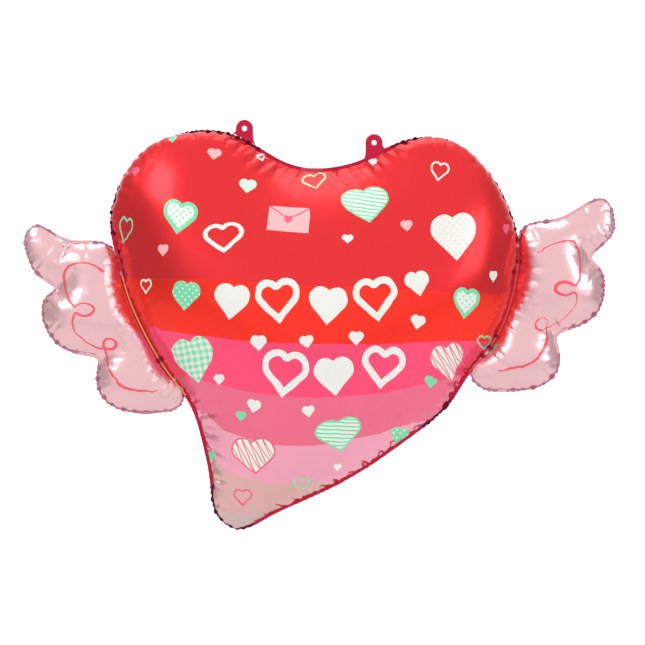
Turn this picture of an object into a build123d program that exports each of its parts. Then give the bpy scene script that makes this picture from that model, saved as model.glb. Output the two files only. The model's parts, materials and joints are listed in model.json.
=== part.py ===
from build123d import *
import math
import os

# A winged heart-shaped foil balloon, inflated.
# Frame: +X to the right seen from the front, +Z up, the printed front faces -Y.
# The origin is the middle of the object's box. All sizes are millimetres.

# Film and weld
FILM = 0.8            # drawn thickness of one foil panel; the real film is about 0.05
WELD_HALF = 0.6       # half of the welded border's drawn thickness
WELD_OUT = 4.5        # how far the border stands out past the seam
WELD_IN = 1.6         # how far the border reaches in under the panels' rims
HINGE_WEB = 5.0       # width of the weld that a wing and the heart share
HINGE_GAP = 0.6       # clearance between the two halves of that weld
HINGE_POINTS = 8      # seam points along a wing's hinge side
BISECTIONS = 40

# Inflated depth of each chamber, from the weld to the crown
HEART_DEPTH = 98.0
WING_DEPTH = 34.0
HEART_RADIUS = 130.0  # how far from the centre the heart's wall is just one film thick
WING_CROWN = 2.4      # drawn thickness of a wing's film at its crown
LEVELS = (0.0, 0.25, 0.5, 0.7, 0.87, 0.97)   # heights of the sections; the last is the flat crown
SIDE_EXPONENT = 0.5   # a wall that falls as an ellipse does, at the sides and below
TOP_EXPONENT = 1.2    # a long slope, towards the notch and the wings' tips

# Hanging tabs: the hole is at the centre of the round end
TAB_END_R = 11.0
TAB_ROOT_HALF = 13.0
TAB_REACH = 26.0      # from the hole down past the border
TAB_HOLE_R = 3.25
TAB_GAP = 1.2         # clearance that the tab's bend needs at its root
LEFT_TAB_HOLE = (-95.5, 247.0)
RIGHT_TAB_HOLE = (69.5, 229.0)

# Filling valve, at the notch between the tabs
VALVE_X = -10.0
VALVE_WIDTH = 30.0
VALVE_LENGTH = 95.0
VALVE_SLIT = 0.2      # slit between the two films

# The heart's seam, clockwise from the notch as seen from the front
HEART_CENTRE = (-8, 0)
HEART_STEEP = Vector(0, 0, 1)
HEART_SEAM = [
    (-7, 192), (26, 195), (59, 205), (103, 227), (148, 233), (185, 218), (216, 186),
    (237, 148), (248, 115), (250, 76), (240, 22), (217, -27), (183, -70), (160, -106),
    (118, -140), (54, -185), (-25, -225), (-73, -248), (-104, -261), (-128, -246),
    (-136, -201), (-145, -153), (-162, -102), (-190, -64), (-218, -18), (-241, 33),
    (-258, 96), (-264, 127), (-255, 168), (-237, 200), (-209, 225), (-171, 239),
    (-124, 241), (-91, 228), (-53, 204),
]

# The wings' free sides, from the top of the hinge round to its bottom
LEFT_WING_CENTRE = (-270, 12)
LEFT_WING_STEEP = Vector(-0.7, 0, 0.7)
LEFT_HINGE_HEIGHTS = (-89, 89)      # bottom and top of the hinge on the heart's seam
LEFT_HINGE_SPAN = (0.6, 0.85)       # the part of the seam that holds them
LEFT_WING_FREE = [
    (-273, 99), (-290, 101), (-315, 101), (-341, 113), (-361, 122), (-372, 113), (-371, 88),
    (-356, 61), (-334, 43), (-347, 31), (-352, 13), (-341, -17), (-310, -37),
    (-280, -45), (-282, -69), (-273, -97), (-235, -113), (-200, -112), (-180, -106),
]
RIGHT_WING_CENTRE = (284, 30)
RIGHT_WING_STEEP = Vector(0.7, 0, 0.7)
RIGHT_HINGE_HEIGHTS = (-60, 106)
RIGHT_HINGE_SPAN = (0.15, 0.4)
RIGHT_WING_FREE = [
    (264, 122), (280, 127), (302, 129), (336, 146), (363, 155), (372, 140), (367, 107),
    (343, 80), (356, 66), (361, 43), (353, 14), (328, -3), (299, -17),
    (304, -46), (292, -73), (262, -84), (230, -85), (204, -80),
]


def closed_curve(points, y=0.0):
    """A smooth closed curve through points of the XZ plane, at depth y."""
    return Spline(*[Vector(x, y, z) for x, z in points], periodic=True)


def moved_out(points, amount):
    """The seam's points moved out by amount, square to the seam."""
    curve = closed_curve(points)
    doubled_area = sum(a[0] * b[1] - b[0] * a[1] for a, b in zip(points, points[1:] + points[:1]))
    reach = math.copysign(amount, amount * doubled_area)
    moved = []
    for x, z in points:
        along = curve % curve.param_at_point(Vector(x, 0, z))
        moved.append((x + along.Z * reach, z - along.X * reach))
    return moved


def region(points, amount=0.0):
    """The flat area inside a seam whose outline has been moved out by amount."""
    return Face(Wire(closed_curve(moved_out(points, amount))))


def plate(face):
    """A plate on both sides of the weld plane, as thick as the welded border."""
    return Pos(0, -WELD_HALF, 0) * extrude(face, amount=2 * WELD_HALF, dir=(0, 1, 0))


def seam_parameter(curve, z, low, high):
    """The parameter between low and high where the curve passes height z."""
    rising = (curve @ high).Z > (curve @ low).Z
    for _ in range(BISECTIONS):
        middle = (low + high) / 2
        if ((curve @ middle).Z < z) == rising:
            low = middle
        else:
            high = middle
    return low


def hinge_side(curve, side, heights, span):
    """Points along a wing's hinge: the heart's seam moved out by the web's width."""
    start, end = [seam_parameter(curve, z, *span) for z in heights]
    points = []
    for i in range(HINGE_POINTS):
        t = start + (end - start) * i / (HINGE_POINTS - 1)
        place = curve @ t
        along = curve % t
        out = Vector(along.Z, 0, -along.X) * HINGE_WEB
        if out.X * side < 0:
            out = -out
        points.append((place.X + out.X, place.Z + out.Z))
    return points


def wall_exponents(points, centre, steep):
    """One exponent for each seam point: steep is the direction of the long slope."""
    exponents = []
    for x, z in points:
        ray = Vector(x - centre[0], 0, z - centre[1]).normalized()
        lean = max(0.0, ray.dot(steep))
        exponents.append(SIDE_EXPONENT + (TOP_EXPONENT - SIDE_EXPONENT) * lean**2)
    return exponents


def section(points, centre, exponents, level, depth):
    """A pillow's outline at one level: each seam point drawn in towards the centre."""
    cx, cz = centre
    shrunk = []
    for (x, z), exponent in zip(points, exponents):
        share = (1 - level**2) ** exponent
        shrunk.append((cx + (x - cx) * share, cz + (z - cz) * share))
    return Face(Wire(closed_curve(shrunk, -WELD_HALF - depth * level / LEVELS[-1])))


def pillow(points, centre, exponents, depth):
    """The solid between the weld and the crown of one front panel."""
    return loft([section(points, centre, exponents, level, depth) for level in LEVELS])


def front_foil(outside, inside):
    """One inflated front panel: a thin shell between two pillows with their rims in one plane."""
    walls = []
    rims = []
    for solid in (outside, inside):
        *rest, rim = solid.faces().sort_by(Axis.Y)
        rims.append(rim.outer_wire())
        walls += rest
    return Solid(Shell(walls + [Face(rims[0], [rims[1]])]))


def save_foils(name, front):
    """Both panels of one chamber, the back one a mirror of the front."""
    save(name + "_front_foil", front)
    save(name + "_back_foil", mirror(front, about=Plane.XZ))


def heart_foil():
    """The heart's front panel: its inside is the same shape, one film smaller."""
    exponents = wall_exponents(HEART_SEAM, HEART_CENTRE, HEART_STEEP)
    outside = pillow(HEART_SEAM, HEART_CENTRE, exponents, HEART_DEPTH)
    flat = FILM / HEART_RADIUS
    deep = FILM / HEART_DEPTH
    smaller = scale(outside, by=(1 - flat, 1 - deep, 1 - flat))
    back_in_place = Pos(HEART_CENTRE[0] * flat, -WELD_HALF * deep, HEART_CENTRE[1] * flat)
    return front_foil(outside, back_in_place * smaller)


def wing_foil(points, centre, steep):
    """A wing's front panel: its inside has its own seam, one film in from the outside's."""
    exponents = wall_exponents(points, centre, steep)
    outside = pillow(points, centre, exponents, WING_DEPTH)
    inside = pillow(moved_out(points, -FILM), centre, exponents, WING_DEPTH - WING_CROWN)
    return front_foil(outside, inside)


def hang_tab(hole):
    """A film tab with a punched hole, cut to stand clear of the heart's border."""
    root = Polygon(
        (-TAB_END_R, 0), (TAB_END_R, 0), (TAB_ROOT_HALF, -TAB_REACH), (-TAB_ROOT_HALF, -TAB_REACH),
        align=None,
    )
    outline = Circle(TAB_END_R) + root - Circle(TAB_HOLE_R)
    film = extrude(outline, amount=WELD_HALF, both=True)
    return Plane.XZ * Pos(*hole) * film - plate(region(HEART_SEAM, WELD_OUT + TAB_GAP))


def valve_strip():
    """The flat valve's outline, from outside the border down into the heart."""
    top = HEART_SEAM[0][1] + WELD_OUT
    return Plane.XZ * Pos(VALVE_X, top - VALVE_LENGTH / 2) * Rectangle(VALVE_WIDTH, VALVE_LENGTH)


def valve_back():
    """The back one of the two valve films, whose top ends flush with the border."""
    film = valve_strip() & region(HEART_SEAM, WELD_OUT)
    return Pos(0, VALVE_SLIT / 2, 0) * extrude(film, amount=WELD_HALF - VALVE_SLIT / 2, dir=(0, 1, 0))


def save(name, shape):
    export_step(shape, "parts/" + name + ".step")
    box = shape.bounding_box()
    print(name, [round(v, 1) for v in (*box.min, *box.max)], round(shape.volume))


os.makedirs("parts", exist_ok=True)

seam = closed_curve(HEART_SEAM)
left_seam = LEFT_WING_FREE + hinge_side(seam, -1, LEFT_HINGE_HEIGHTS, LEFT_HINGE_SPAN)
right_seam = RIGHT_WING_FREE + hinge_side(seam, 1, RIGHT_HINGE_HEIGHTS, RIGHT_HINGE_SPAN)

save_foils("heart", heart_foil())
save_foils("left_wing", wing_foil(left_seam, LEFT_WING_CENTRE, LEFT_WING_STEEP))
save_foils("right_wing", wing_foil(right_seam, RIGHT_WING_CENTRE, RIGHT_WING_STEEP))

# The welded borders share each hinge web, with a gap down its middle
heart_border = region(HEART_SEAM, WELD_OUT) - region(HEART_SEAM, -WELD_IN) - valve_strip()
heart_side = region(HEART_SEAM, (HINGE_WEB - HINGE_GAP) / 2)
wing_side = region(HEART_SEAM, (HINGE_WEB + HINGE_GAP) / 2)
for name, points in (("left_wing", left_seam), ("right_wing", right_seam)):
    wing_border = region(points, WELD_OUT) - wing_side - region(points, -WELD_IN)
    save(name + "_weld_border", plate(wing_border))
    heart_border -= region(points, WELD_OUT + HINGE_GAP) - heart_side
save("heart_weld_border", plate(heart_border))

save("left_hang_tab", hang_tab(LEFT_TAB_HOLE))
save("right_hang_tab", hang_tab(RIGHT_TAB_HOLE))
save("valve_back_film", valve_back())
save("valve_front_film", mirror(valve_back(), about=Plane.XZ))
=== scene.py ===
"""Looks of the winged heart-shaped foil balloon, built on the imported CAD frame."""
import json
import math

import bpy
import numpy as np
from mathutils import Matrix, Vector
from mathutils.geometry import delaunay_2d_cdt

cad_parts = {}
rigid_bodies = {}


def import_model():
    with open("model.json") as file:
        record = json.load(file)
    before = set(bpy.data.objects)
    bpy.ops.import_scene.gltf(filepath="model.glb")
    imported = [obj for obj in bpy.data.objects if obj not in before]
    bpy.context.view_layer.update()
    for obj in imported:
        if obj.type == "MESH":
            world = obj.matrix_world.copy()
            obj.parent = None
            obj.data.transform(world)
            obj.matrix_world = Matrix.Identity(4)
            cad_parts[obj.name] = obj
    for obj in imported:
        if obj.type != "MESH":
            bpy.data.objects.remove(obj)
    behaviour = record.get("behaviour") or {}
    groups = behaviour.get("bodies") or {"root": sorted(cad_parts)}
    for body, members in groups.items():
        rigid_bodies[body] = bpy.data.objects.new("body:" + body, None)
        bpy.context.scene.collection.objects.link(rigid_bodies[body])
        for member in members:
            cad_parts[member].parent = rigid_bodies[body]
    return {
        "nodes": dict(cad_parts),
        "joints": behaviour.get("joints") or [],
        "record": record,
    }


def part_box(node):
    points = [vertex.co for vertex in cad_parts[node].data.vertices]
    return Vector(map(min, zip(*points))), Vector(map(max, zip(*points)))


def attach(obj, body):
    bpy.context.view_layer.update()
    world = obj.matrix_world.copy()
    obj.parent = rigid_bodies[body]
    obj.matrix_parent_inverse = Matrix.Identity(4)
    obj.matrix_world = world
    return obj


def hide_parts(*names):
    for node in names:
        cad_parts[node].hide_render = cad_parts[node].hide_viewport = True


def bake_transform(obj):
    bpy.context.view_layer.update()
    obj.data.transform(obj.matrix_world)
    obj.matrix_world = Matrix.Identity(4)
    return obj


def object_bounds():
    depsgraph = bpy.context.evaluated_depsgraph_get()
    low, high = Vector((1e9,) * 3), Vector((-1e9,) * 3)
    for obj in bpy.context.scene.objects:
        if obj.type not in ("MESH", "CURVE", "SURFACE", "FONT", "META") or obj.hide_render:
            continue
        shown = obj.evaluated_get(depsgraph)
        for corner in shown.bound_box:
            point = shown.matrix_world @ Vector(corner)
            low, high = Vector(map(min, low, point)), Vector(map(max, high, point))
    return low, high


for leftover in list(bpy.data.objects):
    bpy.data.objects.remove(leftover)
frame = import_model()
cad_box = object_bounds()

MM = 0.001
GROWTH = {"heart": 1.17, "left_wing": 1.22, "right_wing": 1.22}   # flat cut against inflated outline
EDGE = {"heart": 4.4, "left_wing": 3.8, "right_wing": 3.8}         # mesh edge near the weld, mm
COARSE = {"heart": 8.0, "left_wing": 5.0, "right_wing": 5.0}       # and further in, mm
RIM_ZONE = 26.0                                                   # width of the finer zone, mm
CALM = {"heart": (60, 3, 40), "left_wing": (50, 0, 14), "right_wing": (50, 0, 14)}
# CALM: rounds of evening out the film, and the distances from the weld where it starts and is full, mm
BENDING = {"heart": 0.5, "left_wing": 0.3, "right_wing": 0.3}
FRAMES = 16
WELD = 4.5        # width of the welded border, mm
WEB = 5.0         # width of the weld between a wing and the heart, mm
HINGE_LAP = 9     # how many steps a border runs on into the hinge
HINGE_REACH = 6.2 # a rim point this close to the other chamber's seam is part of the hinge, mm
SHEET = 0.3       # drawn thickness of the borders and tabs, mm
TAB_END = 11      # radius of a tab's round end, mm
TAB_HOLE = 3.25   # radius of its hole, mm
TAB_ROOT = 12.2   # half of its width where the root starts to flare, mm
TAB_FLARE = 5     # how much wider each side of the root gets, mm
TAB_FOOT = 2.6    # how far the root reaches over the border, mm
VIEW_WIDTH = 0.8213   # width of the camera's view at the balloon, m
CREASE_SEED = {"heart": 11, "left_wing": 12, "right_wing": 13}
# The foil as cloth. It hardly resists being gathered, so the weld puckers it in creases
CLOTH = {
    "quality": 6, "mass": 0.1,
    "tension_stiffness": 120, "compression_stiffness": 1, "shear_stiffness": 60,
    "tension_damping": 25, "compression_damping": 25, "shear_damping": 25, "bending_damping": 0.5,
    "air_damping": 5, "vertex_group_mass": "weld", "pin_stiffness": 50,
    "use_pressure": True, "uniform_pressure_force": 60,
}

# Printed doodles: style, centre x and z, width, height (mm), colour, second colour, tilt (degrees)
DOODLES = [
    ("solid", -184, 229, 11, 11, "mint", "mint", 10),
    ("solid", -132, 209, 17, 13, "blush", "blush", -8),
    ("ring", -74, 210, 11, 10, "white", "white", 20),
    ("solid", -229, 190, 13, 11, "pink", "pink", 0),
    ("solid", -91, 171, 22, 18, "pale_mint", "pale_mint", -5),
    ("ring", -6, 180, 31, 20, "mint", "mint", 12),
    ("solid", 68, 205, 11, 10, "white", "white", 0),
    ("stripes", 58, 146, 61, 46, "white", "mint", 8),
    ("ring", 150, 186, 22, 23, "white", "white", -12),
    ("dots", -174, 131, 43, 42, "white", "mint", -10),
    ("ring", -246, 116, 18, 36, "mint", "mint", -15),
    ("solid", -195, 90, 14, 15, "blush", "blush", 0),
    ("bold", -118, 103, 50, 39, "white", "white", 5),
    ("solid", 108, 120, 15, 14, "blush", "blush", 5),
    ("solid", 34, 102, 14, 11, "white", "white", 0),
    ("polka", 167, 107, 57, 57, "white", "faint", 5),
    ("solid", 232, 116, 9, 13, "pink", "pink", 0),
    ("solid", 217, 59, 10, 14, "white", "white", 0),
    ("dots", 183, 25, 34, 39, "white", "mint", -5),
    ("ring", -217, 46, 15, 19, "white", "white", 0),
    ("polka", -164, 32, 36, 36, "mint", "white", -8),
    ("gingham", -157, -48, 53, 59, "white", "mint", 8),
    ("solid", -125, -71, 15, 14, "white", "white", 0),
    ("ring", 209, -25, 17, 19, "mint", "mint", 0),
    ("scribble", 162, -53, 47, 53, "white", "pink", 10),
    ("solid", 138, -76, 17, 15, "mint", "mint", -5),
    ("solid", -97, -116, 14, 13, "mint", "mint", 0),
    ("solid", 97, -120, 13, 11, "pink", "pink", 0),
    ("stripes", 24, -139, 56, 43, "white", "mint", 8),
    ("polka", 103, -146, 23, 23, "mint", "white", 0),
    ("scribble", -81, -166, 56, 48, "white", "pink", 5),
    ("solid", -137, -172, 13, 13, "mint", "mint", 0),
    ("solid", 22, -181, 11, 9, "white", "white", 0),
    ("ring", -22, -202, 23, 18, "mint", "mint", 0),
    ("ring", -97, -222, 24, 23, "pink", "pink", 0),
    ("letter", -38, 127, 51, 33, "blush", "pink", -4),
    # plain hearts across the middle
    ("solid", -106, 24, 43, 43, "white", "white", -8),
    ("hollow", -50, 25, 53, 53, "white", "white", 6),
    ("solid", 10, 20, 46, 45, "white", "white", -4),
    ("hollow", 68, 28, 53, 53, "white", "white", 8),
    ("solid", 120, 48, 31, 31, "white", "white", 12),
    ("hollow", -41, -62, 56, 56, "white", "white", -8),
    ("solid", 18, -65, 48, 47, "white", "white", 5),
    ("hollow", 77, -56, 53, 53, "white", "white", -6),
    ("solid", -73, -25, 20, 19, "white", "white", 0),
    ("solid", 120, 0, 19, 18, "white", "white", -10),
    ("solid", -15, -23, 17, 15, "white", "white", 10),
    ("solid", 44, -19, 18, 17, "white", "white", 0),
    ("solid", -80, -102, 18, 17, "white", "white", -10),
    ("solid", -13, -107, 15, 14, "white", "white", 6),
]
INKS = {
    "white": (0.80, 0.82, 0.77), "mint": (0.17, 0.72, 0.40), "pale_mint": (0.64, 0.80, 0.70),
    "blush": (0.90, 0.46, 0.47), "pink": (0.82, 0.10, 0.20), "faint": (0.84, 0.68, 0.66),
}
# fill, outline width (mm), then the weights of stripes, dots, gingham, scribble, letter
STYLES = {
    "solid": (1, 0, 0, 0, 0, 0, 0), "ring": (0, 2.2, 0, 0, 0, 0, 0), "hollow": (0, 8.5, 0, 0, 0, 0, 0),
    "bold": (0, 5.5, 0, 0, 0, 0, 0),
    "stripes": (1, 2.0, 1, 0, 0, 0, 0), "dots": (1, 4.6, 0, 1, 0, 0, 0), "polka": (1, 0, 0, 1, 0, 0, 0),
    "gingham": (1, 0, 0, 0, 1, 0, 0), "scribble": (1, 2.0, 0, 0, 0, 1, 0), "letter": (1, 0, 0, 0, 0, 0, 1),
}
# Lower edges of the printed colour bands, top to bottom (mm)
BANDS = [
    [(-248, 57), (-187, 55), (-131, 52), (-25, 45), (143, 40), (244, 38)],
    [(-216, -3), (-157, -14), (-80, -22), (76, -25), (204, -22)],
    [(-178, -67), (-143, -74), (-80, -85), (-2, -90), (77, -89), (166, -71)],
    [(-153, -112), (-119, -136), (-60, -148), (-2, -149), (77, -141), (141, -118)],
    [(-132, -178), (-99, -194), (-50, -202), (-2, -199)],
    [(-124, -232), (-91, -243), (-60, -242)],
]
BAND_COLOURS = [
    (0.79, 0.028, 0.034), (0.97, 0.032, 0.016), (0.97, 0.078, 0.19), (0.84, 0.155, 0.26),
    (0.87, 0.37, 0.48), (0.71, 0.42, 0.40), (0.60, 0.45, 0.44),
]
WING_PINK = (0.80, 0.50, 0.53)
# The curl printed on each wing (mm)
SWIRLS = {
    "left_wing": [
        (-273, 64), (-290, 73), (-305, 74), (-319, 69), (-324, 60), (-325, 50), (-323, 41), (-316, 29),
        (-308, 20), (-306, 19), (-301, 23), (-294, 24), (-287, 22), (-283, 18), (-285, 13), (-290, 10),
        (-297, 9), (-304, 12), (-306, 11), (-310, 0), (-306, -11), (-297, -22), (-287, -29), (-279, -34),
        (-273, -33), (-267, -36), (-261, -34), (-258, -28), (-261, -22), (-268, -20), (-273, -23),
        (-275, -29), (-273, -36), (-271, -46), (-267, -57), (-259, -69), (-250, -78), (-240, -83),
        (-223, -85), (-207, -85),
    ],
    "right_wing": [
        (276, 88), (296, 98), (316, 103), (325, 99), (329, 90), (330, 75), (328, 60), (322, 47),
        (317, 47), (312, 50), (305, 51), (298, 48), (296, 43), (298, 39), (305, 36), (312, 36),
        (317, 39), (322, 37), (322, 25), (315, 13), (306, 3), (296, -5), (291, -8), (289, -7),
        (284, -11), (278, -10), (274, -5), (275, 1), (279, 5), (286, 5), (290, 0), (288, -11),
        (290, -24), (282, -36), (273, -46), (262, -52), (245, -57), (227, -60),
    ],
}


# ---------------------------------------------------------------- outlines
def seam_outline(node):
    """The outer edge of a CAD foil's flat rim, anticlockwise in x and z, in metres."""
    mesh = node.data
    points = np.array([v.co[:] for v in mesh.vertices])
    keys = [tuple(k) for k in np.round(points * 1e6).astype(int)]
    depth = np.abs(points[:, 1]).min()
    flat = np.abs(np.abs(points[:, 1]) - depth) < 1e-5
    edges = {}
    for face in mesh.polygons:
        ids = list(face.vertices)
        if all(flat[i] for i in ids):
            for a, b in zip(ids, ids[1:] + ids[:1]):
                pair = frozenset((keys[a], keys[b]))
                edges[pair] = edges.get(pair, 0) + 1
    links = {}
    for pair, uses in edges.items():
        if uses == 1:
            a, b = pair
            links.setdefault(a, []).append(b)
            links.setdefault(b, []).append(a)
    loops = []
    left = set(links)
    while left:
        start = left.pop()
        loop = [start]
        here = start
        while True:
            onward = [k for k in links[here] if k in left]
            if not onward:
                break
            here = onward[0]
            left.discard(here)
            loop.append(here)
        loops.append(np.array([(k[0], k[2]) for k in loop]) * 1e-6)
    outline = max(loops, key=lambda p: np.linalg.norm(np.roll(p, -1, 0) - p, axis=1).sum())
    onward = np.roll(outline, -1, 0)
    doubled = (outline[:, 0] * onward[:, 1] - onward[:, 0] * outline[:, 1]).sum()
    return outline if doubled > 0 else outline[::-1]


def resample(points, count):
    """count points evenly spread along a closed outline."""
    steps = np.linalg.norm(np.roll(points, -1, 0) - points, axis=1)
    run = np.concatenate([[0], np.cumsum(steps)])
    wanted = np.arange(count) / count * run[-1]
    closed = np.vstack([points, points[:1]])
    return np.stack([np.interp(wanted, run, closed[:, 0]), np.interp(wanted, run, closed[:, 1])], 1)


def length_of(points):
    return np.linalg.norm(np.roll(points, -1, 0) - points, axis=1).sum()


def inside(outline, points):
    x, y = points[:, 0], points[:, 1]
    result = np.zeros(len(points), bool)
    for (x1, y1), (x2, y2) in zip(outline, np.roll(outline, -1, 0)):
        crosses = ((y1 > y) != (y2 > y)) & (x < (x2 - x1) * (y - y1) / (y2 - y1 + 1e-30) + x1)
        result ^= crosses
    return result


def outline_distance(outline, points):
    """Distance of each point to the outline, and the nearest outline segment."""
    best = np.full(len(points), 9.0)
    nearest = np.zeros(len(points), int)
    for i, (a, b) in enumerate(zip(outline, np.roll(outline, -1, 0))):
        ab = b - a
        t = np.clip(((points - a) @ ab) / (ab @ ab), 0, 1)
        d = np.linalg.norm(points - a - t[:, None] * ab, axis=1)
        closer = d < best
        best[closer] = d[closer]
        nearest[closer] = i
    return best, nearest


def normals_of(outline):
    """Outward unit normals of an anticlockwise outline."""
    along = np.roll(outline, -1, 0) - np.roll(outline, 1, 0)
    out = np.stack([along[:, 1], -along[:, 0]], 1)
    return out / np.linalg.norm(out, axis=1)[:, None]


def hex_lattice(low, high, step):
    """Evenly spread points over the box from low to high."""
    rows = []
    for row in range(int((high[1] - low[1]) / (step * 0.866)) + 1):
        xs = np.arange(low[0] + (row % 2) * step / 2, high[0], step)
        rows.append(np.stack([xs, np.full(len(xs), low[1] + row * step * 0.866)], 1))
    return np.vstack(rows)


# ---------------------------------------------------------------- inflating
def inflate(name, outline):
    """Blows up two flat foils welded at their rim. Returns points, flat points, front and back faces."""
    growth = GROWTH[name]
    edge = EDGE[name] * MM
    rim = resample(outline, int(length_of(outline) * growth / edge))
    count = len(rim)
    step = edge / growth
    low, high = rim.min(0), rim.max(0)
    coarse = hex_lattice(low, high, COARSE[name] * MM / growth)
    fine = hex_lattice(low, high, step)
    coarse = coarse[inside(rim, coarse)]
    fine = fine[inside(rim, fine)]
    gap = outline_distance(rim, fine)[0]
    fine = fine[(gap > 0.55 * step) & (gap < RIM_ZONE * MM)]
    coarse = coarse[outline_distance(rim, coarse)[0] > RIM_ZONE * MM + 0.6 * step]
    lattice = np.vstack([fine, coarse])
    corners = [Vector(p) for p in np.vstack([rim, lattice])]
    cut = delaunay_2d_cdt(corners, [], [list(range(count))], 1, 1e-7)
    flat = np.array([v[:] for v in cut[0]])
    on_rim = np.zeros(len(flat), bool)
    ring = np.zeros(count, int)
    for i, sources in enumerate(cut[3]):
        for k in sources:
            if k < count:
                ring[k] = i
                on_rim[i] = True
    rng = np.random.default_rng(1)
    front = np.stack([flat[:, 0], np.where(on_rim, 0, -0.0015), flat[:, 1]], 1)
    front[:, 1] += rng.normal(0, 0.0003, len(flat)) * ~on_rim
    twin = np.arange(len(flat))
    free = np.flatnonzero(~on_rim)
    twin[free] = len(flat) + np.arange(len(free))
    back = front[free] * (1, -1, 1)
    start = np.vstack([front, back])
    sheet_flat = np.vstack([flat, flat[free]])
    middle = outline.mean(0)
    large = start.copy()
    large[:, 0] = middle[0] + (start[:, 0] - middle[0]) * growth
    large[:, 2] = middle[1] + (start[:, 2] - middle[1]) * growth
    fronts, backs = [], []
    for a, b, c in cut[2]:
        (ax, ay), (bx, by), (cx, cy) = flat[a], flat[b], flat[c]
        if (bx - ax) * (cy - ay) - (by - ay) * (cx - ax) < 0:
            b, c = c, b
        fronts.append((a, b, c))
        backs.append((twin[c], twin[b], twin[a]))
    mesh = bpy.data.meshes.new(name + "_sim")
    mesh.from_pydata([tuple(p) for p in large], [], [tuple(map(int, f)) for f in fronts + backs])
    obj = bpy.data.objects.new(name + "_sim", mesh)
    bpy.context.scene.collection.objects.link(obj)
    obj.shape_key_add(name="Basis")
    key = obj.shape_key_add(name="welded")
    key.data.foreach_set("co", start.ravel())
    key.value = 0
    key.keyframe_insert("value", frame=1)
    key.value = 1
    key.keyframe_insert("value", frame=9)
    group = obj.vertex_groups.new(name="weld")
    group.add([int(i) for i in ring], 1.0, "REPLACE")
    cloth = obj.modifiers.new("cloth", "CLOTH")
    for key_name, setting in CLOTH.items():
        setattr(cloth.settings, key_name, setting)
    cloth.settings.bending_stiffness = BENDING[name]
    cloth.settings.effector_weights.gravity = 0
    cloth.collision_settings.use_collision = False
    cloth.collision_settings.use_self_collision = False
    cloth.point_cache.frame_start = 1
    cloth.point_cache.frame_end = FRAMES + 5
    scene = bpy.context.scene
    scene.frame_start = 1
    scene.frame_end = FRAMES + 5
    for f in range(1, FRAMES + 1):
        scene.frame_set(f)
    graph = bpy.context.evaluated_depsgraph_get()
    shaped = obj.evaluated_get(graph).to_mesh()
    points = np.array([v.co[:] for v in shaped.vertices])
    obj.evaluated_get(graph).to_mesh_clear()
    bpy.data.objects.remove(obj)
    scene.frame_set(1)
    rounds, near, full = CALM[name]
    gap = outline_distance(rim, sheet_flat)[0] / MM
    points = even_out(points, fronts + backs, rounds, np.clip((gap - near) / (full - near), 0, 1))
    others = ("left_wing", "right_wing") if name == "heart" else ("heart",)
    hinge = np.min([outline_distance(outlines[o], rim)[0] for o in others], 0) < HINGE_REACH * MM
    points = pucker(name, points, sheet_flat, fronts + backs, rim, hinge)
    return points, sheet_flat, fronts, backs


def even_out(points, faces, rounds, weight):
    """Takes small wrinkles out of the film where weight is above nothing."""
    tri = np.array(faces)
    a = np.concatenate([tri[:, 0], tri[:, 1], tri[:, 2]])
    b = np.concatenate([tri[:, 1], tri[:, 2], tri[:, 0]])
    count = np.bincount(a, minlength=len(points))[:, None]
    for _ in range(rounds):
        total = np.zeros_like(points)
        np.add.at(total, a, points[b])
        points = points + (total / count - points) * 0.6 * weight[:, None]
    return points


def vertex_normals(points, faces):
    tri = np.array(faces)
    normal = np.cross(points[tri[:, 1]] - points[tri[:, 0]], points[tri[:, 2]] - points[tri[:, 0]])
    total = np.zeros_like(points)
    for k in range(3):
        np.add.at(total, tri[:, k], normal)
    return total / (np.linalg.norm(total, axis=1)[:, None] + 1e-12)


def pucker(name, points, flat, faces, rim, hinge):
    """Short creases square to the weld where the film is gathered, long ones in from each notch."""
    gap, segment = outline_distance(rim, flat)
    step = length_of(rim) / len(rim) / MM
    run = segment * step
    total = len(rim) * step
    rng = np.random.default_rng(CREASE_SEED[name])
    out = normals_of(rim)
    along = np.stack([-out[:, 1], out[:, 0]], 1)
    hop = max(2, int(round(8 / step)))
    turn = ((np.roll(out, -hop, 0) - np.roll(out, hop, 0)) * along).sum(1)
    creases = []
    place = 0.0
    while place < total - 6:
        here = int(place / step) % len(rim)
        if hinge[here]:
            creases.append((place, rng.uniform(0.5, 1.3), rng.uniform(16, 40),
                            rng.uniform(-0.2, 0.2), 1.9))
            place += rng.uniform(6, 14)
        else:
            deep = rng.uniform(1.8, 4.4) if name == "heart" else rng.uniform(0.7, 2.0)
            creases.append((place, deep, rng.uniform(12, 38), rng.uniform(-0.25, 0.25), 2.1))
            place += rng.uniform(12, 26)
    # a notch is where the outline turns inward most
    for k in np.argsort(turn)[:60]:
        spot = k * step
        if turn[k] < -0.35 and not hinge[k]:
            if all(min(abs(spot - c[0]), total - abs(spot - c[0])) > 25 or c[2] < 45 for c in creases):
                creases.append((spot, 3.0, 52.0, rng.uniform(-0.15, 0.15), 4.0))
    gap = gap / MM
    sink = np.zeros(len(points))
    for spot, deep, reach, lean, wide in creases:
        across = run - spot - lean * gap
        across = (across + total / 2) % total - total / 2
        shoulder = np.exp(-(((np.abs(across) - 2.4 * wide) / (1.7 * wide)) ** 2))
        valley = np.exp(-np.abs(across) / wide) - 0.25 * shoulder
        fade = np.clip(gap / 2.0, 0, 1) * np.exp(-((gap / reach) ** 2))
        sink += np.where(np.abs(across) < 10 * wide, deep * valley * fade, 0)
    outward = vertex_normals(points, faces)
    return points - outward * (sink * MM)[:, None]


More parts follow.
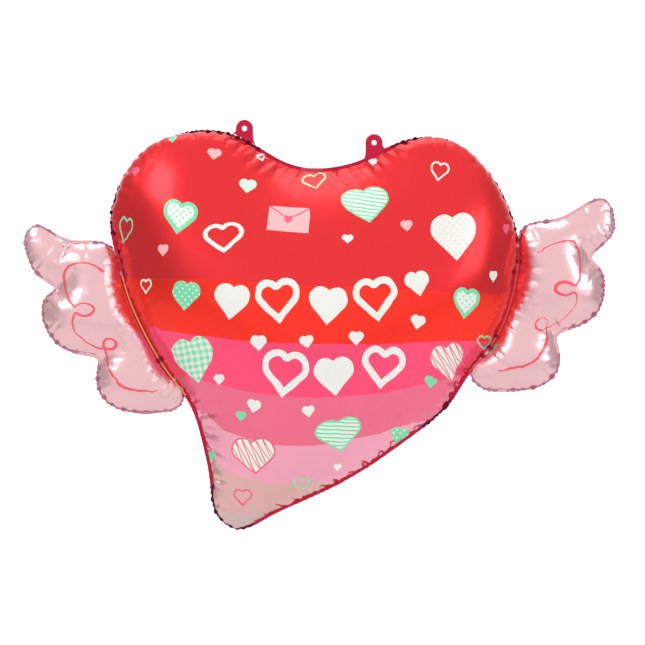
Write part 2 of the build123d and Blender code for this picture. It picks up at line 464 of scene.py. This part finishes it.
def foil(name, points, flat, faces):
    """One panel as a smooth, refined mesh, with each vertex's place on the flat film kept."""
    used = sorted(set(i for f in faces for i in f))
    new = {old: i for i, old in enumerate(used)}
    mesh = bpy.data.meshes.new(name)
    mesh.from_pydata([tuple(points[i]) for i in used], [], [tuple(new[i] for i in f) for f in faces])
    mesh.attributes.new("flat_film", "FLOAT_VECTOR", "POINT")
    values = np.zeros((len(used), 3), np.float32)
    values[:, 0] = flat[used, 0]
    values[:, 2] = flat[used, 1]
    mesh.attributes["flat_film"].data.foreach_set("vector", values.ravel())
    obj = bpy.data.objects.new(name, mesh)
    bpy.context.scene.collection.objects.link(obj)
    smooth = obj.modifiers.new("smooth", "SUBSURF")
    smooth.levels = 1
    smooth.boundary_smooth = "PRESERVE_CORNERS"
    graph = bpy.context.evaluated_depsgraph_get()
    fine = bpy.data.meshes.new_from_object(obj.evaluated_get(graph))
    obj.modifiers.clear()
    obj.data = fine
    fine.name = name
    fine.shade_smooth()
    return obj


def film_places(mesh):
    values = np.zeros(len(mesh.vertices) * 3, np.float32)
    mesh.attributes["flat_film"].data.foreach_get("vector", values)
    return values.reshape(-1, 3)[:, [0, 2]].astype(float)


def seen_places(mesh):
    """Where each vertex's print lies, seen from the front: a smooth map of the film's own coordinates."""
    film = film_places(mesh)
    co = np.zeros(len(mesh.vertices) * 3)
    mesh.vertices.foreach_get("co", co)
    seen = co.reshape(-1, 3)[:, [0, 2]]
    middle, scale = film.mean(0), np.abs(film - film.mean(0)).max()
    u, v = ((film - middle) / scale).T
    terms = np.stack([u**i * v**j for i in range(6) for j in range(6 - i)], 1)
    fit = np.linalg.lstsq(terms, seen, rcond=None)[0]
    return terms @ fit


def corner_data(mesh, name, kind, values):
    """Stores per-corner values: kind is FLOAT2, FLOAT_VECTOR or FLOAT_COLOR."""
    layer = mesh.attributes.new(name, kind, "CORNER")
    field = "color" if kind == "FLOAT_COLOR" else "vector"
    layer.data.foreach_set(field, values.astype(np.float32).ravel())


def loops_of(mesh):
    """The vertex of each corner and the face of each corner."""
    verts = np.zeros(len(mesh.loops), int)
    mesh.loops.foreach_get("vertex_index", verts)
    totals = np.zeros(len(mesh.polygons), int)
    mesh.polygons.foreach_get("loop_total", totals)
    return verts, np.repeat(np.arange(len(totals)), totals)


def face_middles(places, verts, faces):
    sums = np.zeros((faces.max() + 1, 2))
    np.add.at(sums, faces, places[verts])
    return sums / np.bincount(faces)[:, None]


def print_bands(mesh, places):
    """A smooth number for each vertex that passes a whole number at each band's edge."""
    x, z = (places / MM).T
    edges = [np.interp(x, *np.array(b).T) for b in BANDS]
    edges = [edges[0] + 400] + edges + [edges[-1] - 200]
    number = np.zeros(len(x))
    for i, (top, low) in enumerate(zip(edges, edges[1:])):
        number += np.clip((top - z) / np.maximum(top - low, 1), 0, 1)
    layer = mesh.attributes.new("band", "FLOAT", "POINT")
    layer.data.foreach_set("value", number.astype(np.float32))


def print_doodles(mesh, places):
    """Gives each face the local coordinates and the inks of the doodle nearest to it."""
    verts, faces = loops_of(mesh)
    middles = face_middles(places, verts, faces) / MM
    distance = []
    for style, x, z, w, h, a, b, tilt in DOODLES:
        distance.append(np.hypot(middles[:, 0] - x, middles[:, 1] - z) - 0.55 * max(w, h))
    nearest = np.argmin(np.array(distance), 0)[faces]
    table = np.array([(x, z, w, h, math.radians(tilt)) for _, x, z, w, h, _, _, tilt in DOODLES], float)
    cx, cz, w, h, tilt = table[nearest].T
    dx, dz = (places[verts] / MM - np.stack([cx, cz], 1)).T
    u = (dx * np.cos(tilt) + dz * np.sin(tilt)) / w
    v = (dz * np.cos(tilt) - dx * np.sin(tilt)) / h
    corner_data(mesh, "doodle", "FLOAT2", np.stack([u, v], 1))
    for key, column in (("ink_a", 5), ("ink_b", 6)):
        inks = np.array([INKS[d[column]] + (1.0,) for d in DOODLES])
        corner_data(mesh, key, "FLOAT_COLOR", inks[nearest])
    styles = np.array([STYLES[d[0]] for d in DOODLES], float)
    cover = np.stack([styles[:, 0], styles[:, 1] / np.sqrt(table[:, 2] * table[:, 3]), styles[:, 6]], 1)
    corner_data(mesh, "cover", "FLOAT_VECTOR", cover[nearest])
    corner_data(mesh, "pattern", "FLOAT_COLOR", styles[:, 2:6][nearest])
    corner_data(mesh, "span", "FLOAT_VECTOR", np.stack([w, h, cx], 1))


def smooth_line(points, per_gap=6):
    """A finer Catmull-Rom line through the points."""
    p = np.vstack([2 * points[0] - points[1], points, 2 * points[-1] - points[-2]])
    fine = []
    for a, b, c, d in zip(p, p[1:], p[2:], p[3:]):
        for t in np.arange(per_gap) / per_gap:
            fine.append(0.5 * (2 * b + (c - a) * t + (2 * a - 5 * b + 4 * c - d) * t**2
                               + (3 * b - a - 3 * c + d) * t**3))
    fine = np.array(fine + [points[-1]])
    for _ in range(10):
        fine[1:-1] = (fine[:-2] + 2 * fine[1:-1] + fine[2:]) / 4
    return fine


def print_curl(mesh, places, line):
    """Signed distances of each corner to the nearest stretch of the line and to the next one."""
    verts, faces = loops_of(mesh)
    middles = face_middles(places, verts, faces) / MM
    a, b = line[:-1], line[1:]
    ab = b - a
    size = (ab**2).sum(1)
    rel = middles[:, None] - a[None]
    t = (rel * ab).sum(2) / size
    gap = np.linalg.norm(rel - np.clip(t, 0, 1)[..., None] * ab, axis=2)
    side = np.stack([-ab[:, 1], ab[:, 0]], 1) / np.sqrt(size)[:, None]
    run = np.concatenate([[0], np.cumsum(np.sqrt(size))])[:-1]
    result = []
    first = np.argmin(gap, 1)
    again = np.where(np.abs(run[None] - run[first][:, None]) < 18, 99.0, gap)
    for pick, reach in ((first, gap), (np.argmin(again, 1), again)):
        rows = np.arange(len(middles))
        off_end = ((pick == 0) & (t[rows, pick] < 0)) | ((pick == len(a) - 1) & (t[rows, pick] > 1))
        far = (reach[rows, pick] > 6) | off_end
        d = ((places[verts] / MM - a[pick[faces]]) * side[pick[faces]]).sum(1)
        result.append(np.where(far[faces], 9.0, d))
    corner_data(mesh, "curl", "FLOAT2", np.stack(result, 1))


# ---------------------------------------------------------------- materials
def new_material(name, colour, metallic, roughness):
    material = bpy.data.materials.new(name)
    material.use_nodes = True
    shader = material.node_tree.nodes["Principled BSDF"]
    shader.inputs["Base Color"].default_value = (*colour, 1)
    shader.inputs["Metallic"].default_value = metallic
    shader.inputs["Roughness"].default_value = roughness
    shader.inputs["Coat Weight"].default_value = 0.3 if metallic > 0.9 else 0.0
    shader.inputs["Coat Roughness"].default_value = 0.12
    material.diffuse_color = (*colour, 1)
    return material, shader


class Nodes:
    """Short ways to add math nodes to a material."""

    def __init__(self, material):
        self.tree = material.node_tree

    def add(self, kind, **settings):
        node = self.tree.nodes.new(kind)
        for key, value in settings.items():
            setattr(node, key, value)
        return node

    def feed(self, socket, value):
        if isinstance(value, (int, float, tuple)):
            socket.default_value = value
        else:
            self.tree.links.new(value, socket)

    def math(self, operation, *values):
        node = self.add("ShaderNodeMath", operation=operation)
        for socket, value in zip(node.inputs, values):
            self.feed(socket, value)
        return node.outputs[0]

    def vector(self, operation, *values):
        node = self.add("ShaderNodeVectorMath", operation=operation)
        for socket, value in zip(node.inputs, values):
            self.feed(socket, value)
        return node.outputs["Value"] if operation in ("LENGTH", "DISTANCE") else node.outputs[0]

    def mix(self, factor, a, b):
        node = self.add("ShaderNodeMix", data_type="RGBA")
        self.feed(node.inputs[0], factor)
        self.feed(node.inputs[6], a)
        self.feed(node.inputs[7], b)
        return node.outputs[2]

    def attribute(self, name, output="Vector"):
        return self.add("ShaderNodeAttribute", attribute_name=name).outputs[output]

    def xyz(self, vector):
        node = self.add("ShaderNodeSeparateXYZ")
        self.feed(node.inputs[0], vector)
        return node.outputs

    def pack(self, x, y, z=0.0):
        node = self.add("ShaderNodeCombineXYZ")
        for socket, value in zip(node.inputs, (x, y, z)):
            self.feed(socket, value)
        return node.outputs[0]

    def below(self, value, limit):
        return self.math("LESS_THAN", value, limit)


def heart_distance(n, u, v):
    """Signed distance, in local units, to a heart one unit wide and one unit high."""
    x = n.math("ABSOLUTE", n.math("MULTIPLY", u, 1.2071))
    y = n.math("MULTIPLY_ADD", v, 1.1036, 0.5518)
    upper = n.math("GREATER_THAN", n.math("ADD", x, y), 1.0)
    here = n.pack(x, y)
    lobe = n.math("SUBTRACT", n.vector("DISTANCE", here, (0.25, 0.75, 0.0)), 0.35355)
    low = n.math("MULTIPLY", n.math("MAXIMUM", n.math("ADD", x, y), 0.0), 0.5)
    edge = n.math("MINIMUM", n.vector("DISTANCE", here, (0.0, 1.0, 0.0)),
                  n.vector("DISTANCE", here, n.pack(low, low)))
    edge = n.math("MULTIPLY", edge, n.math("SIGN", n.math("SUBTRACT", x, y)))
    mixed = n.add("ShaderNodeMix", data_type="FLOAT")
    n.feed(mixed.inputs[0], upper)
    n.feed(mixed.inputs[2], edge)
    n.feed(mixed.inputs[3], lobe)
    return mixed.outputs[0]


def printed_heart():
    material, shader = new_material("printed_heart_foil", (0.72, 0.028, 0.036), 1.0, 0.16)
    n = Nodes(material)
    bands = n.add("ShaderNodeValToRGB")
    ramp = bands.color_ramp
    ramp.interpolation = "CONSTANT"
    while len(ramp.elements) < len(BAND_COLOURS):
        ramp.elements.new(1.0)
    for i, colour in enumerate(BAND_COLOURS):
        ramp.elements[i].position = i / len(BAND_COLOURS)
        ramp.elements[i].color = (*colour, 1)
    n.feed(bands.inputs[0], n.math("DIVIDE", n.attribute("band", "Fac"), float(len(BAND_COLOURS))))
    u, v, _ = n.xyz(n.attribute("doodle"))
    fill, outline, letter = n.xyz(n.attribute("cover"))
    w, h, seed = n.xyz(n.attribute("span"))
    # a drawn line wavers a little
    noise = n.add("ShaderNodeTexNoise")
    noise.inputs["Scale"].default_value = 2.2
    noise.inputs["Detail"].default_value = 1.0
    n.feed(noise.inputs["Vector"], n.pack(u, v, seed))
    shift = n.vector("SUBTRACT", noise.outputs["Color"], (0.5, 0.5, 0.5))
    shift = n.vector("MULTIPLY", shift, (0.08, 0.08, 0.0))
    u, v, _ = n.xyz(n.vector("ADD", n.pack(u, v), shift))
    zoom = n.math("MULTIPLY_ADD", letter, 1.9, 1.0)
    zoom_across = n.math("MULTIPLY", zoom, n.math("MULTIPLY_ADD", letter, 0.5, 1.0))
    d = heart_distance(n, n.math("MULTIPLY", u, zoom_across), n.math("MULTIPLY", v, zoom))
    heart_in = n.below(d, 0.0)
    line = n.below(n.math("ABSOLUTE", n.math("ADD", d, n.math("MULTIPLY", outline, 0.5))),
                   n.math("MULTIPLY", outline, 0.55))
    # patterns, in millimetres across the heart
    x, y = n.math("MULTIPLY", u, w), n.math("MULTIPLY", v, h)
    wave = n.math("SINE", n.math("ADD", n.math("MULTIPLY", y, 1.25), n.math("MULTIPLY", x, 0.35)))
    stripes = n.math("GREATER_THAN", wave, 0.25)
    cell = n.pack(n.math("MULTIPLY", n.math("ADD", x, y), 0.115),
                  n.math("MULTIPLY", n.math("SUBTRACT", x, y), 0.115))
    cell = n.vector("SUBTRACT", n.vector("FRACTION", cell), (0.5, 0.5, 0.0))
    dots = n.below(n.vector("LENGTH", cell), 0.21)
    columns = n.math("GREATER_THAN", n.math("SINE", n.math("MULTIPLY", x, 0.78)), 0.0)
    lines = n.math("GREATER_THAN", n.math("SINE", n.math("MULTIPLY", y, 0.78)), 0.0)
    checks = n.math("MULTIPLY", n.math("ADD", columns, lines), 0.5)
    zigzag = n.math("ADD", n.math("MULTIPLY", x, 0.11), n.math("MULTIPLY", y, 0.045))
    zigzag = n.math("SUBTRACT", n.math("PINGPONG", zigzag, 0.5), 0.25)
    off_line = n.math("SUBTRACT", n.math("MULTIPLY", v, 0.5), zigzag)
    scribble = n.below(n.math("ABSOLUTE", off_line), 0.075)
    weights = n.add("ShaderNodeAttribute", attribute_name="pattern")
    s, t, g = n.xyz(weights.outputs["Vector"])
    marks = n.math("ADD", n.math("ADD", n.math("MULTIPLY", s, stripes), n.math("MULTIPLY", t, dots)),
                   n.math("ADD", n.math("MULTIPLY", g, checks),
                          n.math("MULTIPLY", weights.outputs["Alpha"], scribble)))
    # the letter: a rectangle, its flap and a small heart
    from_side, from_middle = n.math("ABSOLUTE", u), n.math("ABSOLUTE", v)
    block = n.math("MULTIPLY", n.below(from_side, 0.5), n.below(from_middle, 0.5))
    block = n.math("MULTIPLY", letter, block)
    flap = n.math("SUBTRACT", v, n.math("MULTIPLY_ADD", from_side, 0.95, 0.02))
    flap = n.below(n.math("ABSOLUTE", flap), 0.035)
    marks = n.math("MAXIMUM", marks, n.math("MULTIPLY", letter, n.math("MAXIMUM", heart_in, flap)))
    printed = n.math("MAXIMUM", n.math("MAXIMUM", n.math("MULTIPLY", heart_in, fill), line), block)
    printed = n.math("MINIMUM", printed, n.math("MAXIMUM", n.math("SUBTRACT", 1.0, letter), block))
    second = n.math("MINIMUM", n.math("MAXIMUM", marks, line), 1.0)
    ink = n.mix(second, n.attribute("ink_a", "Color"), n.attribute("ink_b", "Color"))
    n.feed(shader.inputs["Base Color"], n.mix(printed, bands.outputs[0], ink))
    n.feed(shader.inputs["Metallic"], n.math("MULTIPLY_ADD", printed, -0.72, 1.0))
    n.feed(shader.inputs["Roughness"], n.math("MULTIPLY_ADD", printed, 0.15, 0.24))
    return material


def printed_wing():
    material, shader = new_material("printed_wing_foil", WING_PINK, 1.0, 0.24)
    n = Nodes(material)
    first, second, _ = n.xyz(n.attribute("curl"))
    near = n.math("MINIMUM", n.math("ABSOLUTE", first), n.math("ABSOLUTE", second))
    noise = n.add("ShaderNodeTexNoise")
    noise.inputs["Scale"].default_value = 22.0
    noise.inputs["Detail"].default_value = 0.0
    n.feed(noise.inputs["Vector"], n.attribute("flat_film"))
    line = n.below(near, n.math("MULTIPLY_ADD", noise.outputs["Fac"], 3.4, -0.35))
    n.feed(shader.inputs["Base Color"], n.mix(line, (*WING_PINK, 1), (0.90, 0.09, 0.14, 1)))
    n.feed(shader.inputs["Metallic"], n.math("MULTIPLY_ADD", line, -0.5, 1.0))
    return material


# ---------------------------------------------------------------- weld borders, hinges, tabs, valve
def strip_mesh(name, rows, material, closed, second=None, gathered=()):
    """A sheet through rows of points, closed on itself if set. Gathered rows take the second material, a
    darker copy that paints the shade in the folds.
    """
    rows = np.array(rows)
    count, across = rows.shape[:2]
    faces = []
    for i in range(count if closed else count - 1):
        j = (i + 1) % count
        for k in range(across - 1):
            faces.append((i * across + k, j * across + k, j * across + k + 1, i * across + k + 1))
    mesh = bpy.data.meshes.new(name)
    mesh.from_pydata([tuple(p) for p in rows.reshape(-1, 3)], [], faces)
    mesh.materials.append(material)
    if second:
        mesh.materials.append(second)
        for i, face in enumerate(mesh.polygons):
            face.material_index = int(gathered[i // (across - 1)])
    mesh.shade_smooth()
    obj = bpy.data.objects.new(name, mesh)
    bpy.context.scene.collection.objects.link(obj)
    return obj


def thicken(obj, thickness):
    """Gives a sheet a real thickness, applied to the mesh."""
    shell = obj.modifiers.new("thickness", "SOLIDIFY")
    shell.thickness = thickness
    shell.offset = 0
    graph = bpy.context.evaluated_depsgraph_get()
    fine = bpy.data.meshes.new_from_object(obj.evaluated_get(graph))
    obj.modifiers.clear()
    obj.data = fine
    return obj


def crimps(run, total, seed):
    """A wave along the weld, with folds of uneven length, and where each fold stands."""
    rng = np.random.default_rng(seed)
    knots = [0.0]
    while knots[-1] < total:
        knots.append(knots[-1] + rng.uniform(4.5, 9.5) * MM)
    knots = np.array(knots) * total / knots[-1]
    heights = np.where(np.arange(len(knots)) % 2, 1, -1) * rng.uniform(0.35, 1.0, len(knots))
    heights[-1] = heights[0]
    place = np.searchsorted(knots, run, side="right") - 1
    t = (run - knots[place]) / (knots[np.minimum(place + 1, len(knots) - 1)] - knots[place] + 1e-9)
    t = (1 - np.cos(np.pi * np.clip(t, 0, 1))) / 2
    return heights[place] * (1 - t) + heights[np.minimum(place + 1, len(knots) - 1)] * t


def weld_border(name, outline, other, strength, material, second, seed):
    """The crimped flange outside one chamber's seam, left out where other's seam is close."""
    rim = resample(outline, int(length_of(outline) / (1.3 * MM)))
    out = normals_of(rim)
    total = length_of(rim)
    run = np.arange(len(rim)) / len(rim) * total
    wave = crimps(run, total, seed)
    # the weld only buckles where the outline is convex
    reach = 12
    bend = (np.roll(out, -reach, 0) * np.stack([-out[:, 1], out[:, 0]], 1)).sum(1)
    convex = np.clip(0.15 + bend * 5.0, 0.03, 1)
    window = np.ones(21) / 21
    convex = np.convolve(np.concatenate([convex[-10:], convex, convex[:10]]), window, "valid")
    lift = wave * convex * strength * MM
    hinge = np.zeros(len(rim), bool)
    for o in other:
        close = outline_distance(o, rim)[0] < (WEB + 0.35) * MM
        hinge |= np.all([np.roll(close, k) for k in range(-HINGE_LAP, HINGE_LAP + 1)], axis=0)
    shares = np.array([-0.35, 0.0, 0.25, 0.5, 0.75, 1.0])
    rows = []
    for p, q, a, c in zip(rim, out, lift, convex):
        # a gathered flange stands out less, and its folds lean to the front and the back
        reach_out = WELD * MM * (0.95 - 0.62 * c) + abs(a) * 0.75
        row = []
        for s in shares:
            up = max(s, 0)
            d = s * reach_out if s > 0 else s * WELD * MM * 0.5
            row.append((p[0] + q[0] * d, a * math.sin(up * 1.4), p[1] + q[1] * d))
        rows.append(row)
    pieces = []
    if hinge.any():
        order = np.flatnonzero(hinge & ~np.roll(hinge, 1))
        for begin in order:
            chunk, marks = [], []
            # walk on from each hinge's end to the next hinge's start
            i = begin
            while hinge[i % len(rim)]:
                i += 1
            i -= 1
            while True:
                chunk.append(rows[i % len(rim)])
                # rows where the flange gathers take the darker material: painted shade in the folds
                marks.append(convex[i % len(rim)] > 0.42)
                i += 1
                if hinge[i % len(rim)]:
                    chunk.append(rows[i % len(rim)])
                    break
            pieces.append((chunk, marks))
    joined = None
    for chunk, marks in pieces:
        piece = strip_mesh(name, chunk, material, False, second, marks)
        if joined is None:
            joined = piece
        else:
            with bpy.context.temp_override(active_object=joined, selected_editable_objects=[joined, piece]):
                bpy.ops.object.join()
    return thicken(joined, SHEET * MM), rim


def hinge_path(heart_rim, wing_outline):
    """Points along the heart's seam where a wing is welded on, and the way out from each."""
    close = outline_distance(wing_outline, heart_rim)[0] < (WEB + 1.2) * MM
    begin = np.flatnonzero(close & ~np.roll(close, 1))[0]
    path = heart_rim[[(begin + i) % len(heart_rim) for i in range(int(close.sum()))]]
    steps = np.concatenate([[0], np.cumsum(np.linalg.norm(np.diff(path, axis=0), axis=1))])
    samples = np.arange(0, steps[-1], 0.45 * MM)
    path = np.stack([np.interp(samples, steps, path[:, k]) for k in (0, 1)], 1)
    along = np.gradient(path, axis=0)
    out = np.stack([along[:, 1], -along[:, 0]], 1)
    return samples, path, out / np.linalg.norm(out, axis=1)[:, None]


def hinge_band(name, way, shares, thick, rib, material):
    """A closed band along the hinge between two shares of the web's width, ribbed if rib is set."""
    rows = []
    for s, p, q in zip(*way):
        half = (thick + rib * math.sin(2 * math.pi * s / (2.4 * MM))) * MM
        edge = thick * 0.5 * MM
        middle = sum(shares) / 2
        section = [(shares[0], -edge), (middle, -half), (shares[1], -edge),
                   (shares[1], edge), (middle, half), (shares[0], edge)]
        row = [(p[0] + q[0] * w * WEB * MM, y, p[1] + q[1] * w * WEB * MM) for w, y in section]
        rows.append(row + [row[0]])
    return strip_mesh(name, rows, material, closed=False)


def hang_tab(name, node, material, bend):
    """A thin punched film tab, reaching down over the welded border."""
    record = {m["name"]: m for m in frame["record"]["mounts"]}
    hole = record[node.replace("hang_tab", "tab_hole")]["pos_m"]
    joint = {j["child"]: j for j in frame["joints"]}[node.replace("_hang", "")]
    axis = np.array(joint["axis"])[[0, 2]]
    up = np.array([-axis[1], axis[0]])
    if up[1] < 0:
        up = -up
    centre = np.array([hole[0], hole[2]])
    root = np.array(joint["pos_m"])[[0, 2]]
    # outline: round end, straight sides, flare at the root
    outline = []
    for a in np.linspace(0, 180, 33):
        around = math.radians(a)
        outline.append(centre + TAB_END * MM * np.array([math.cos(around), math.sin(around)]))
    rightward = 1 if axis[0] > 0 else -1
    for side in (-1, 1):
        points = []
        for t in np.linspace(0, 1, 9):
            half = (TAB_ROOT + TAB_FLARE * t**3) * MM
            base = root + axis * side * half * rightward - up * TAB_FOOT * MM * t
            start = centre + np.array([side * TAB_END * MM, 0])
            points.append(start * (1 - t) + base * t)
        outline += points[1:] if side < 0 else points[::-1][:-1]
    outline = np.array(outline)
    ring = [centre + TAB_HOLE * MM * np.array([math.cos(a), math.sin(a)])
            for a in np.linspace(0, 2 * math.pi, 33)[:-1]]
    low, high = outline.min(0), outline.max(0)
    grid = np.array([(x, z) for x in np.arange(low[0], high[0], 1.6 * MM)
                     for z in np.arange(low[1], high[1], 1.6 * MM)])
    keep = inside(outline, grid) & (outline_distance(outline, grid)[0] > 0.8 * MM)
    keep &= np.linalg.norm(grid - centre, axis=1) > 4.2 * MM
    grid = grid[keep]
    points = np.vstack([outline, ring, grid])
    a, b = len(outline), len(ring)
    loops = [list(range(a)), [a + b - 1 - i for i in range(b)]]
    cut = delaunay_2d_cdt([Vector(p) for p in points], [], loops, 1, 1e-7)
    flat = np.array([v[:] for v in cut[0]])
    faces = [f for f in cut[2] if np.linalg.norm(flat[list(f)].mean(0) - centre) > 3.2 * MM]
    height = (flat - root) @ up
    ripple = 0.5 * MM * np.sin((flat - centre) @ axis * 260) * np.clip(height / (20 * MM), 0, 1)
    y = bend * (np.clip(height, 0, 1) / (30 * MM)) ** 2 + ripple
    mesh = bpy.data.meshes.new(name)
    mesh.from_pydata([(p[0], q, p[1]) for p, q in zip(flat, y)], [], [tuple(f) for f in faces])
    mesh.materials.append(material)
    mesh.shade_smooth()
    obj = bpy.data.objects.new(name, mesh)
    bpy.context.scene.collection.objects.link(obj)
    return thicken(obj, SHEET * MM), root, up


# ---------------------------------------------------------------- build
outlines = {c: seam_outline(frame["nodes"][c + "_front_foil"]) for c in ("heart", "left_wing", "right_wing")}

heart_print = printed_heart()
wing_print = printed_wing()
heart_back, _ = new_material("plain_heart_foil", (0.70, 0.03, 0.05), 1.0, 0.24)
wing_back, _ = new_material("plain_wing_foil", WING_PINK, 1.0, 0.24)
heart_edge, _ = new_material("heart_weld", (0.50, 0.012, 0.05), 0.9, 0.35)
# painted shade: a darker copy of the heart weld, used on its gathered, folded stretches
heart_gather_shade, _ = new_material("heart_weld_gathered_painted_shade", (0.16, 0.008, 0.04), 0.9, 0.4)
wing_edge, _ = new_material("wing_weld", (0.74, 0.42, 0.47), 0.9, 0.3)
# painted shade: a darker copy of the wing weld, used on its gathered, folded stretches
wing_gather_shade, _ = new_material("wing_weld_gathered_painted_shade", (0.50, 0.20, 0.29), 0.9, 0.35)
dark_web, _ = new_material("hinge_web", (0.42, 0.03, 0.04), 0.9, 0.3)
left_web, _ = new_material("left_hinge_weld", (0.85, 0.32, 0.10), 0.9, 0.3)
right_web, _ = new_material("right_hinge_weld", (0.80, 0.08, 0.10), 0.9, 0.3)
tab_film, _ = new_material("tab_film", (0.55, 0.012, 0.05), 0.8, 0.22)
valve_film, _ = new_material("valve_film", (0.50, 0.03, 0.06), 0.3, 0.3)

joints = {j["child"]: j for j in frame["joints"]}


def bend_line(child, near, far):
    """Two points square to a wing's hinge line, near and far metres outside it."""
    joint = joints[child]
    place = np.array(joint["pos_m"])
    axis = np.array(joint["axis"])
    out = np.cross(axis, (0, 1, 0))
    out /= np.linalg.norm(out)
    if out @ (outlines[child].mean(0)[0] - place[0], 0, outlines[child].mean(0)[1] - place[2]) < 0:
        out = -out
    return tuple(place + out * near), tuple(place + out * far)


GOLD_TOP = {"left_wing": 60 * MM, "right_wing": 78 * MM}   # the knurled line starts below here
# each wing's near and far distances outside the bulge of the heart's seam; bend_line turns them into points,
# which nothing uses, so no wing is bent
BULGE = {"left_wing": (14 * MM, 60 * MM), "right_wing": (21 * MM, 68 * MM)}

for chamber, outline in outlines.items():
    points, flat, fronts, backs = inflate(chamber, outline)
    for side, faces in (("front", fronts), ("back", backs)):
        obj = foil(chamber + "_" + side + "_film", points, flat, faces)
        places = seen_places(obj.data)
        if side == "back":
            obj.data.materials.append(heart_back if chamber == "heart" else wing_back)
        elif chamber == "heart":
            print_bands(obj.data, places)
            print_doodles(obj.data, places)
            obj.data.materials.append(heart_print)
        else:
            print_curl(obj.data, places, smooth_line(np.array(SWIRLS[chamber], float)))
            obj.data.materials.append(wing_print)
        if chamber == "heart":
            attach(obj, "heart")
        else:
            bend_line(chamber, *BULGE[chamber])
            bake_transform(obj)
        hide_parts(chamber + "_" + side + "_foil")

wings = [outlines["left_wing"], outlines["right_wing"]]
border, heart_rim = weld_border("heart_weld_film", outlines["heart"], wings, 3.6, heart_edge, heart_gather_shade, 3)
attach(border, "heart")
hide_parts("heart_weld_border")
for wing, seed, web in (("left_wing", 5, left_web), ("right_wing", 8, right_web)):
    edge_piece, _ = weld_border(wing + "_weld_film", outlines[wing], [outlines["heart"]], 3.0,
                                wing_edge, wing_gather_shade, seed)
    bend_line(wing, *BULGE[wing])
    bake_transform(edge_piece)
    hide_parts(wing + "_weld_border")
    way = hinge_path(heart_rim, outlines[wing])
    for label, shares, thick, rib, finish in (("web", (-0.15, 1.15), 0.35, 0.0, dark_web),
                                              ("knurl", (0.28, 0.66), 1.1, 0.5, web)):
        keep = np.ones(len(way[0]), bool) if label == "web" else way[1][:, 1] < GOLD_TOP[wing]
        band = hinge_band(wing + "_hinge_" + label, tuple(w[keep] for w in way), shares, thick, rib, finish)
        bend_line(wing, *BULGE[wing])
        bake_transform(band)

for side, sway in (("left", -2 * MM), ("right", 1.5 * MM)):
    tab, root, up = hang_tab(side + "_tab_film", side + "_hang_tab", tab_film, sway)
    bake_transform(tab)
    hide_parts(side + "_hang_tab")

# the valve: two flat films inside the heart that end flush with the border
for side, sign in (("front", -1), ("back", 1)):
    low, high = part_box("valve_" + side + "_film")
    rows = []
    for z in np.linspace(high.z, low.z, 40):
        rows.append([(x, sign * (0.22 + 0.12 * math.sin((high.z - z) * 90)) * MM, z)
                     for x in np.linspace(low.x, high.x, 13)])
    valve = thicken(strip_mesh("valve_" + side + "_sheet", rows, valve_film, closed=False), 0.12 * MM)
    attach(valve, "heart")
    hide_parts("valve_" + side + "_film")

# ---------------------------------------------------------------- stage, lights, camera
low, high = cad_box
stage_material, _ = new_material("pale_floor", (0.86, 0.86, 0.86), 0.0, 0.7)
profile = []
for t in np.linspace(0, 1, 12):
    profile.append((-4 + 7.6 * t, low.z - 0.45))
for a in np.radians(np.linspace(0, 90, 14)[1:]):
    profile.append((3.6 + math.sin(a), low.z - 0.45 + 1 - math.cos(a)))
profile.append((4.6, 5.0))
rows = [[(x, y, z) for x in (-2.6, 2.6)] for y, z in profile]
floor = strip_mesh("floor", rows, stage_material, closed=False)

bpy.context.scene.view_settings.view_transform = "Standard"
world = bpy.data.worlds.new("studio")
bpy.context.scene.world = world
world.use_nodes = True
sky = Nodes(world)
side, _, _ = sky.xyz(sky.add("ShaderNodeTexCoord").outputs["Generated"])
dim = sky.add("ShaderNodeMapRange", interpolation_type="SMOOTHSTEP")
for socket, value in (("Value", sky.math("ABSOLUTE", side)), ("From Min", 0.5), ("From Max", 1.0),
                      ("To Min", 1.05), ("To Max", 0.6)):
    sky.feed(dim.inputs[socket], value)
background = world.node_tree.nodes["Background"]
background.inputs["Color"].default_value = (1.0, 0.99, 0.98, 1)
sky.feed(background.inputs["Strength"], dim.outputs[0])


def softbox(name, place, aim, width, height, power):
    light = bpy.data.lights.new(name, "AREA")
    light.shape = "RECTANGLE"
    light.size = width
    light.size_y = height
    light.energy = power
    obj = bpy.data.objects.new(name, light)
    obj.location = place
    obj.rotation_euler = (Vector(aim) - Vector(place)).to_track_quat("-Z", "Y").to_euler()
    bpy.context.scene.collection.objects.link(obj)


softbox("key", (-1.6, -1.5, 1.5), (0, 0, 0), 0.9, 1.2, 9)
softbox("fill", (1.9, -1.3, 0.6), (0, 0, 0), 0.8, 1.4, 6)
softbox("top", (0, 0.2, 2.0), (0, 0, 0), 1.6, 1.0, 8)
softbox("backdrop_left", (-2.0, 2.6, 0.6), (0, 4.6, 0), 1.0, 2.0, 30)
softbox("backdrop_right", (2.0, 2.6, 0.6), (0, 4.6, 0), 1.0, 2.0, 30)

camera = bpy.data.cameras.new("camera")
camera.lens = 85
camera_obj = bpy.data.objects.new("camera", camera)
bpy.context.scene.collection.objects.link(camera_obj)
bpy.context.scene.camera = camera_obj
distance = VIEW_WIDTH / 2 / math.tan(math.atan(camera.sensor_width / 2 / camera.lens))
camera_obj.location = (0.0038, -distance, 0)
camera_obj.rotation_euler = (math.pi / 2, 0, 0)
camera.clip_end = 50
